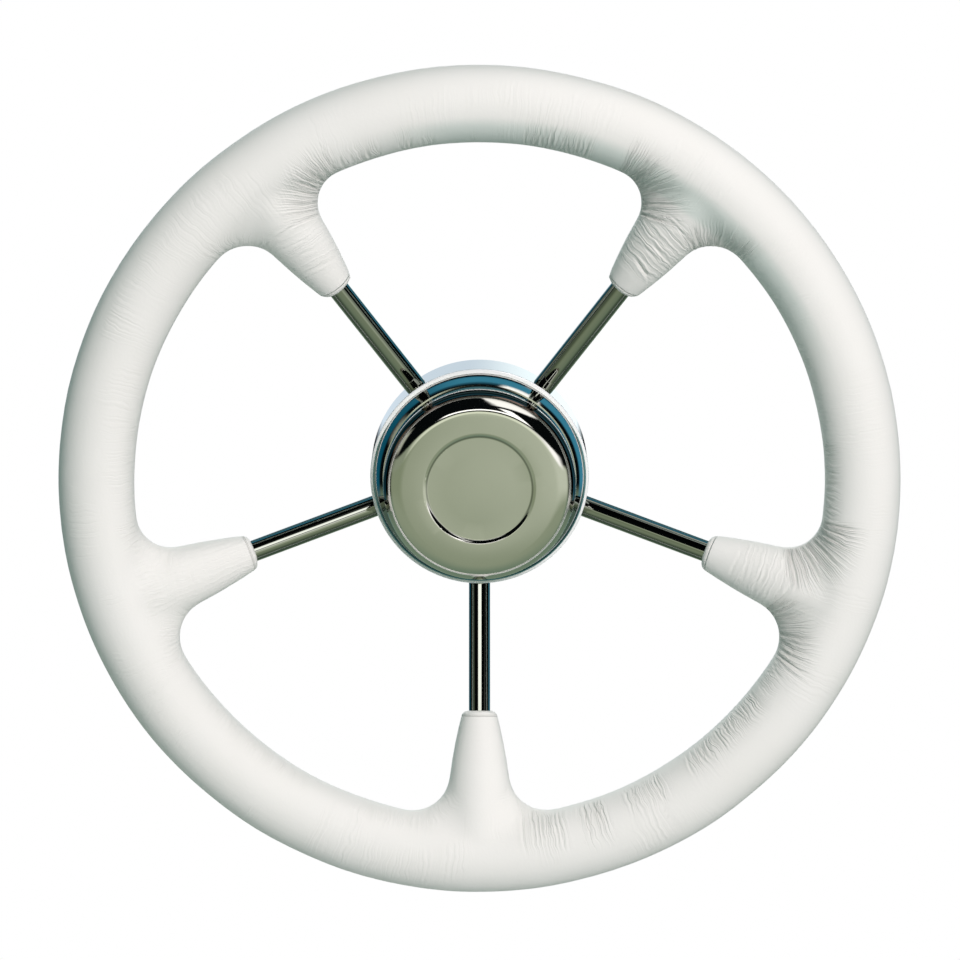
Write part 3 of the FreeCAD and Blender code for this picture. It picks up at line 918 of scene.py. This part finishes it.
def inSpokeHole(place):
    # the spokes run straight from their start on the axis out to the hoop's middle
    for turn in wheel["spokeTurns"]:
        hoopEnd = Vector((math.cos(turn), 0, math.sin(turn))) * rimRadius + rimCentre
        line = (hoopEnd - Vector((0, spokeStart, 0))).normalized()
        offset = place - hoopEnd
        along = offset.dot(line)
        aside = (offset - line * along).length
        inLength = grip["holeStart"] < along < grip["holeEnd"]
        if inLength and aside < wheel["spokeRadius"] + grip["cavityRoom"] / 2:
            return True
    return False


def closeCavity(piece):
    # the skin that touches the hoop and the spokes goes, and each sleeve's tip is closed
    bpy.ops.object.mode_set(mode="EDIT")
    bpy.ops.mesh.select_all(action="DESELECT")
    shell = bmesh.from_edit_mesh(piece.data)
    for face in shell.faces:
        place = face.calc_center_median()
        face.select = onHoop(place) or inSpokeHole(place)
    bmesh.update_edit_mesh(piece.data)
    bpy.ops.mesh.delete(type="FACE")
    bpy.ops.mesh.select_all(action="SELECT")
    bpy.ops.mesh.delete_loose(use_verts=True, use_edges=True, use_faces=False)
    bpy.ops.mesh.select_all(action="DESELECT")
    bpy.ops.mesh.select_mode(type="EDGE")
    bpy.ops.mesh.select_non_manifold(extend=False, use_wire=False, use_multi_face=False,
                                     use_non_contiguous=False, use_verts=False)
    bpy.ops.mesh.edge_face_add()
    bpy.ops.mesh.select_mode(type="VERT")
    bpy.ops.object.mode_set(mode="OBJECT")
    print("grip skin closed:", len(piece.data.polygons), "faces")


def remeshSkin(piece):
    piece.data.remesh_voxel_size = grip["voxel"]
    piece.data.use_remesh_preserve_volume = True
    bpy.ops.object.voxel_remesh()
    bpy.ops.object.mode_set(mode="EDIT")
    bpy.ops.mesh.select_all(action="SELECT")
    bpy.ops.mesh.vertices_smooth(factor=grip["smoothFactor"], repeat=grip["smoothing"])
    bpy.ops.object.mode_set(mode="OBJECT")
    print("grip remeshed:", len(piece.data.polygons), "faces")


def refineCreases(piece, folds):
    places, normals = meshArrays(piece)
    sink, creaseShade = foldDepths(places, folds)
    creased = (creaseShade > creases["refineFrom"]) & (places[:, 1] < rimForward + creases["refineBehind"])
    bpy.ops.object.mode_set(mode="EDIT")
    bpy.ops.mesh.select_mode(type="VERT")
    bpy.ops.mesh.select_all(action="DESELECT")
    shell = bmesh.from_edit_mesh(piece.data)
    for face in shell.faces:
        face.select = any(creased[corner.index] for corner in face.verts)
    bmesh.update_edit_mesh(piece.data)
    bpy.ops.mesh.select_mode(type="FACE")
    bpy.ops.mesh.subdivide(number_cuts=creases["refineCuts"], smoothness=0.0)
    bpy.ops.mesh.vertices_smooth(factor=grip["smoothFactor"], repeat=creases["refineSmoothing"])
    bpy.ops.mesh.select_mode(type="VERT")
    bpy.ops.object.mode_set(mode="OBJECT")
    print("grip refined:", len(piece.data.polygons), "faces")


def sinkCreases(piece, frontFolds, backFolds):
    # the cover swells a little unevenly and sinks along its creases; the fine folds' values go on its points
    places, normals = meshArrays(piece)
    frontSink, frontCreaseShade = foldDepths(places, frontFolds)
    backSink, backCreaseShade = foldDepths(places, backFolds)
    isFront = smoothStep(-normals[:, 1], *grip["side"])
    isBack = smoothStep(normals[:, 1], *grip["side"])
    sink = frontSink * isFront + backSink * isBack
    creaseShade = frontCreaseShade * isFront + backCreaseShade * isBack
    swell = np.array([noise.noise(Vector(place) * grip["swellScale"]) for place in places]) * grip["swell"]
    places = places + normals * (swell + grip["regrow"] - sink)[:, None]
    piece.data.vertices.foreach_set("co", places.ravel())
    front = smoothStep(-normals[:, 1], *grip["fineSide"])
    foldLayer(piece, "fan", fanValues, crotches, places, front)
    foldLayer(piece, "row", rowValues, rows, places, front)
    foldLayer(piece, "crossing", crossingValues, crossings, places, front)
    foldLayer(piece, "crinkle", crinkleValues, stretches, places, front)
    # how strongly each place is creased, which the material paints as shade
    writeValues(piece, "creaseShade", np.clip(creaseShade, 0, 1))
    piece.data.update()
    print("grip creased")


def addGrip(material):
    piece = copyOfNode("softGrip", "rim_grip")
    closeCavity(piece)
    remeshSkin(piece)
    chance = random.Random(grip["seed"])
    frontFolds = plannedFolds(chance, 1.0)
    backFolds = plannedFolds(chance, creases["backShare"])
    refineCreases(piece, frontFolds)
    sinkCreases(piece, frontFolds, backFolds)
    onlyPiece(piece)
    bpy.ops.object.shade_smooth()
    dressPiece(piece, material)
    return piece


# soft skin: the cover's material, with its grain, its fine folds and the ring pressed into each sleeve, painted
# shade in its creases, folds and rings, and a painted greenish shade on the inner side of the rim's upper part

skin = {
    "cloudScale": 24.0,
    "cloudDetail": 3.0,
    "dimTone": colour(0.865, 0.86, 0.83),
    "brightTone": colour(0.89, 0.89, 0.87),
    "roughness": 0.46,
    "cloudRoughness": 0.12,
    "pebbleScale": 900.0,
    "pebbleSmoothness": 0.6,
    "fineScale": 1600.0,
    "fineShare": 0.4,
    "grain": 0.02,               # heights are shares of reliefHeight
    "folds": 0.3,
    "tipLines": 0.35,
    "crinkles": 0.34,
    "reliefHeight": 0.001,
    "wanderScale": 150.0,
    "wander": 1.6,               # how far fine folds stray, as a share of the distance between two
    "crinkleWander": 1.5,        # the crinkles stray this many times further
    "lineSharpness": 3.4,
    "crinklePatches": 42.0,
    "patchEdge": (0.42, 0.62),
    "paintedShadeTone": colour(0.62, 0.63, 0.58),
    "paintedShadeShares": (0.2, 0.2, 0.3),      # in creases, in fine folds and in the rings
}

# the ring near a sleeve's tip, in millimetres
tipRing = {
    "sleeveReach": 61.0,         # from the hoop's middle to the tip, along the spoke
    "fromTip": 2.2,
    "edge": (0.5, 0.1),
    "aside": (13, 12),
}

# the painted greenish shade on the inner side of the rim's upper right, in millimetres
innerShade = {
    "tone": colour(0.34, 0.54, 0.48),
    "share": 0.3,
    "inwards": (3, 9),           # from the rim's middle line
    "fromAxis": (141, 145),
    "up": (40, 90),
    "right": (-50, -5),
}


def fineLines(shop, layer, stray):
    # narrow lines at uneven distances, from the cover's own values for one layer of folds
    wave = shop.noiseAlong(shop.attribute(layer + "Along") + stray)
    line = (1 - abs(wave - 0.5) * (2 * skin["lineSharpness"])).clamped()
    return line * shop.attribute(layer + "Strength")


def crinkles(shop, place, stray):
    # soft waves across the rim, in patches
    wave = shop.noiseAlong(shop.attribute("crinkleAlong") + stray * skin["crinkleWander"])
    patch = shop.noise(place, skin["crinklePatches"], 1.0).eased(*skin["patchEdge"])
    return wave * shop.attribute("crinkleStrength") * patch


def tipLine(across, behind, up, turn):
    # the ring pressed into a sleeve close to its tip
    rise = (rimForward - spokeStart) * 1000
    out = rimRadius * 1000
    length = math.hypot(rise, out)
    ahead = (across * math.cos(turn) + up * math.sin(turn)) * (out / length)
    ahead = ahead + (behind - spokeStart * 1000) * (rise / length)
    aside = abs(up * math.cos(turn) - across * math.sin(turn))
    ring = length - (tipRing["sleeveReach"] - tipRing["fromTip"])
    return abs(ahead - ring).eased(*tipRing["edge"]) * aside.eased(*tipRing["aside"])


def innerShadeShare(across, up):
    fromAxis = lengthOf(across, up)
    inwards = (rimRadius * 1000 - fromAxis).eased(*innerShade["inwards"]) * fromAxis.eased(*innerShade["fromAxis"])
    return innerShade["share"] * (inwards * up.eased(*innerShade["up"]) * across.eased(*innerShade["right"]))


def leatherGrain(shop, place):
    inputs = {"Vector": place, "Scale": skin["pebbleScale"], "Smoothness": skin["pebbleSmoothness"]}
    pebble = shop.node("ShaderNodeTexVoronoi", {"feature": "SMOOTH_F1"}, inputs).out(0)
    return (pebble + skin["fineShare"] * shop.noise(place, skin["fineScale"])) * skin["grain"]


def softSkin():
    shop = startMaterial("softSkin")
    place = shop.coordinate("Object")
    across, behind, up = shop.millimetres(place)
    cloud = shop.noise(place, skin["cloudScale"], skin["cloudDetail"])
    stray = skin["wander"] * (shop.noise(place, skin["wanderScale"], 1.0) - 0.5)
    folds = merged("MAXIMUM", [fineLines(shop, layer, stray) for layer in ("fan", "row", "crossing")])
    lines = merged("MAXIMUM", [tipLine(across, behind, up, turn) for turn in wheel["spokeTurns"]])
    height = leatherGrain(shop, place) - folds * skin["folds"] - lines * skin["tipLines"]
    height = height + crinkles(shop, place, stray) * skin["crinkles"]
    # painted shade: the tone darkens in the creases, the fine folds and the rings near the tips
    inCrease, inFold, inRing = skin["paintedShadeShares"]
    paintedShade = inCrease * shop.attribute("creaseShade") + inFold * folds + inRing * lines
    tone = shop.mixedColour(cloud, skin["dimTone"], skin["brightTone"])
    # painted greenish shade on the inner side of the rim's upper part
    tone = shop.mixedColour(innerShadeShare(across, up), tone, innerShade["tone"])
    tone = shop.mixedColour(paintedShade, tone, skin["paintedShadeTone"])
    rough = skin["roughness"] + skin["cloudRoughness"] * cloud
    normal = shop.bump(height, 1.0, skin["reliefHeight"])
    return finishMaterial(shop, {"Base Color": tone, "Roughness": rough, "Normal": normal})


# hub cap: the solid's own skin with even normals across the middle of its dome

cap = {
    "smoothAngle": math.radians(25),
}


def addCap(material):
    piece = copyOfNode("polishedCap", "hub_cap")
    bpy.ops.object.mode_set(mode="EDIT")
    bpy.ops.mesh.normals_make_consistent(inside=False)
    bpy.ops.object.mode_set(mode="OBJECT")
    bpy.ops.object.shade_smooth_by_angle(angle=cap["smoothAngle"])
    dressPiece(piece, material)
    print("cap evened")
    return piece


def paintNodes(finishes):
    for name, node in nodes.items():
        if node.data.materials:
            node.data.materials[0] = finishes[name]
        else:
            node.data.materials.append(finishes[name])
    print("nodes painted")


addCamera()
addWorld()
addLamp("keyLamp")
addLamp("backLamp")
addFloor()

softCover = softSkin()
capSteel = polishedCap()
rodSteel = polishedRods()
lathed = turnedSteel()
finishes = {f"spoke_{number}": rodSteel for number in range(1, 6)}
finishes.update({"rim_grip": softCover, "rim_hoop": lathed, "hub_boss": lathed, "hub_drum": polishedDrum(),
                 "front_ring": polishedRing(), "cap_seal": sealRubber(), "hub_cap": capSteel})
paintNodes(finishes)

gripPiece = addGrip(softCover)
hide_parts("rim_grip")
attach(gripPiece, "root")

capPiece = addCap(capSteel)
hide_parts("hub_cap")
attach(capPiece, "root")
